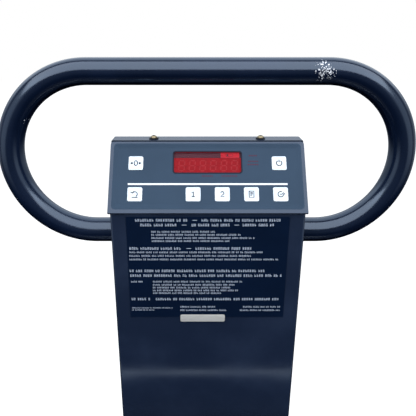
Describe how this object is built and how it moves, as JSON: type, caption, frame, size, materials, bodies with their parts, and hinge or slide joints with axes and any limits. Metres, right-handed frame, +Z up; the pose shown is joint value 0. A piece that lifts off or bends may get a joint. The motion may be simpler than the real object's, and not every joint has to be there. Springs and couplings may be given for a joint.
{
  "type": "wheelchair scale",
  "caption": "Floor scale for a person in a wheelchair: low platform with fold-down ramps and a handrail, and a mast with a sloped display head, a loop handle and transport wheels.",
  "frame": {"origin": "on the floor at the middle of the scale's outline", "axes": "+Z up, +X the way a wheelchair rolls across the platform, -Y the side that the display faces"},
  "size_m": [1.4314, 1.0164, 1.1907],
  "materials": {
    "bare_alloy": "machined",
    "black_moulding": "satin",
    "board_laminate": "satin",
    "bright_steel": "bright",
    "cell_jacket": "satin",
    "deck_paint": "satin",
    "frame_paint": "satin",
    "grey_moulding": "satin",
    "grip_strip": "gritty",
    "key_white": "satin",
    "navy_paint": "glossy powder coat",
    "panel_film": "satin",
    "plate_alloy": "satin",
    "red_filter": "clear red",
    "rubber": "matt",
    "rubber_mat": "ribbed",
    "sign_film": "satin",
    "stainless": "polished",
    "tyre_rubber": "matt"
  },
  "bodies": {
    "base": {"base_frame": "frame_paint", "battery_1": "cell_jacket", "battery_2": "cell_jacket", "battery_3": "cell_jacket", "battery_4": "cell_jacket", "battery_5": "cell_jacket", "battery_6": "cell_jacket", "battery_door_pin": "bright_steel", "battery_tray": "black_moulding", "circuit_board": "board_laminate", "console_bezel": "navy_paint", "console_housing": "navy_paint", "display_lens": "red_filter", "display_module": "black_moulding", "foot_front_left": "rubber", "foot_front_right": "rubber", "foot_rear_left": "rubber", "foot_rear_right": "rubber", "handle_loop": "navy_paint", "handle_saddle_left": "navy_paint", "handle_saddle_right": "navy_paint", "handrail": "stainless", "handrail_flange_left": "stainless", "handrail_flange_right": "stainless", "instruction_panel": "sign_film", "keypad_panel": "panel_film", "load_cell_front_left": "bare_alloy", "load_cell_front_right": "bare_alloy", "load_cell_rear_left": "bare_alloy", "load_cell_rear_right": "bare_alloy", "mast_foot": "navy_paint", "mast_rear_cover": "navy_paint", "mast_shell": "navy_paint", "mast_tongue": "frame_paint", "platform_deck": "deck_paint", "platform_mat": "rubber_mat", "ramp_left_pin": "bright_steel", "ramp_right_pin": "bright_steel", "serial_plate": "plate_alloy", "wheel_axle": "bright_steel"},
    "ramp_left": {"ramp_left": "deck_paint", "ramp_left_tread_1": "grip_strip", "ramp_left_tread_2": "grip_strip", "ramp_left_tread_3": "grip_strip"},
    "ramp_right": {"ramp_right": "deck_paint", "ramp_right_tread_1": "grip_strip", "ramp_right_tread_2": "grip_strip", "ramp_right_tread_3": "grip_strip"},
    "wheel_left": {"wheel_left_hub": "grey_moulding", "wheel_left_tyre": "tyre_rubber"},
    "wheel_right": {"wheel_right_hub": "grey_moulding", "wheel_right_tyre": "tyre_rubber"},
    "battery_door": {"battery_door": "navy_paint"},
    "key_power": {"key_power": "key_white"},
    "key_zero": {"key_zero": "key_white"},
    "key_recall": {"key_recall": "key_white"},
    "key_pounds": {"key_pounds": "key_white"},
    "key_kilograms": {"key_kilograms": "key_white"},
    "key_print": {"key_print": "key_white"},
    "key_reweigh": {"key_reweigh": "key_white"}
  },
  "joints": [
    {"name": "ramp_left_hinge", "type": "hinge", "parent": "base", "child": "ramp_left", "pos_m": [-0.3893, -0.10175, 0.0539], "axis": [0, 1, 0], "range_deg": [0, 103]},
    {"name": "ramp_right_hinge", "type": "hinge", "parent": "base", "child": "ramp_right", "pos_m": [0.3893, -0.10175, 0.0539], "axis": [0, -1, 0], "range_deg": [0, 103]},
    {"name": "wheel_left_spin", "type": "hinge", "parent": "base", "child": "wheel_left", "pos_m": [-0.188, 0.44475, 0.0675], "axis": [1, 0, 0], "continuous": true},
    {"name": "wheel_right_spin", "type": "hinge", "parent": "base", "child": "wheel_right", "pos_m": [0.188, 0.44475, 0.0675], "axis": [1, 0, 0], "continuous": true},
    {"name": "battery_door_hinge", "type": "hinge", "parent": "base", "child": "battery_door", "pos_m": [0, 0.40605, 1.04096], "axis": [1, 0, 0], "range_deg": [0, 95]},
    {"name": "key_power_press", "type": "slide", "parent": "base", "child": "key_power", "axis": [0, 0.809, -0.5878], "range_m": [0, 0.0005], "stiffness_N_per_m": 800},
    {"name": "key_zero_press", "type": "slide", "parent": "base", "child": "key_zero", "axis": [0, 0.809, -0.5878], "range_m": [0, 0.0005], "stiffness_N_per_m": 800},
    {"name": "key_recall_press", "type": "slide", "parent": "base", "child": "key_recall", "axis": [0, 0.809, -0.5878], "range_m": [0, 0.0005], "stiffness_N_per_m": 800},
    {"name": "key_pounds_press", "type": "slide", "parent": "base", "child": "key_pounds", "axis": [0, 0.809, -0.5878], "range_m": [0, 0.0005], "stiffness_N_per_m": 800},
    {"name": "key_kilograms_press", "type": "slide", "parent": "base", "child": "key_kilograms", "axis": [0, 0.809, -0.5878], "range_m": [0, 0.0005], "stiffness_N_per_m": 800},
    {"name": "key_print_press", "type": "slide", "parent": "base", "child": "key_print", "axis": [0, 0.809, -0.5878], "range_m": [0, 0.0005], "stiffness_N_per_m": 800},
    {"name": "key_reweigh_press", "type": "slide", "parent": "base", "child": "key_reweigh", "axis": [0, 0.809, -0.5878], "range_m": [0, 0.0005], "stiffness_N_per_m": 800}
  ]
}
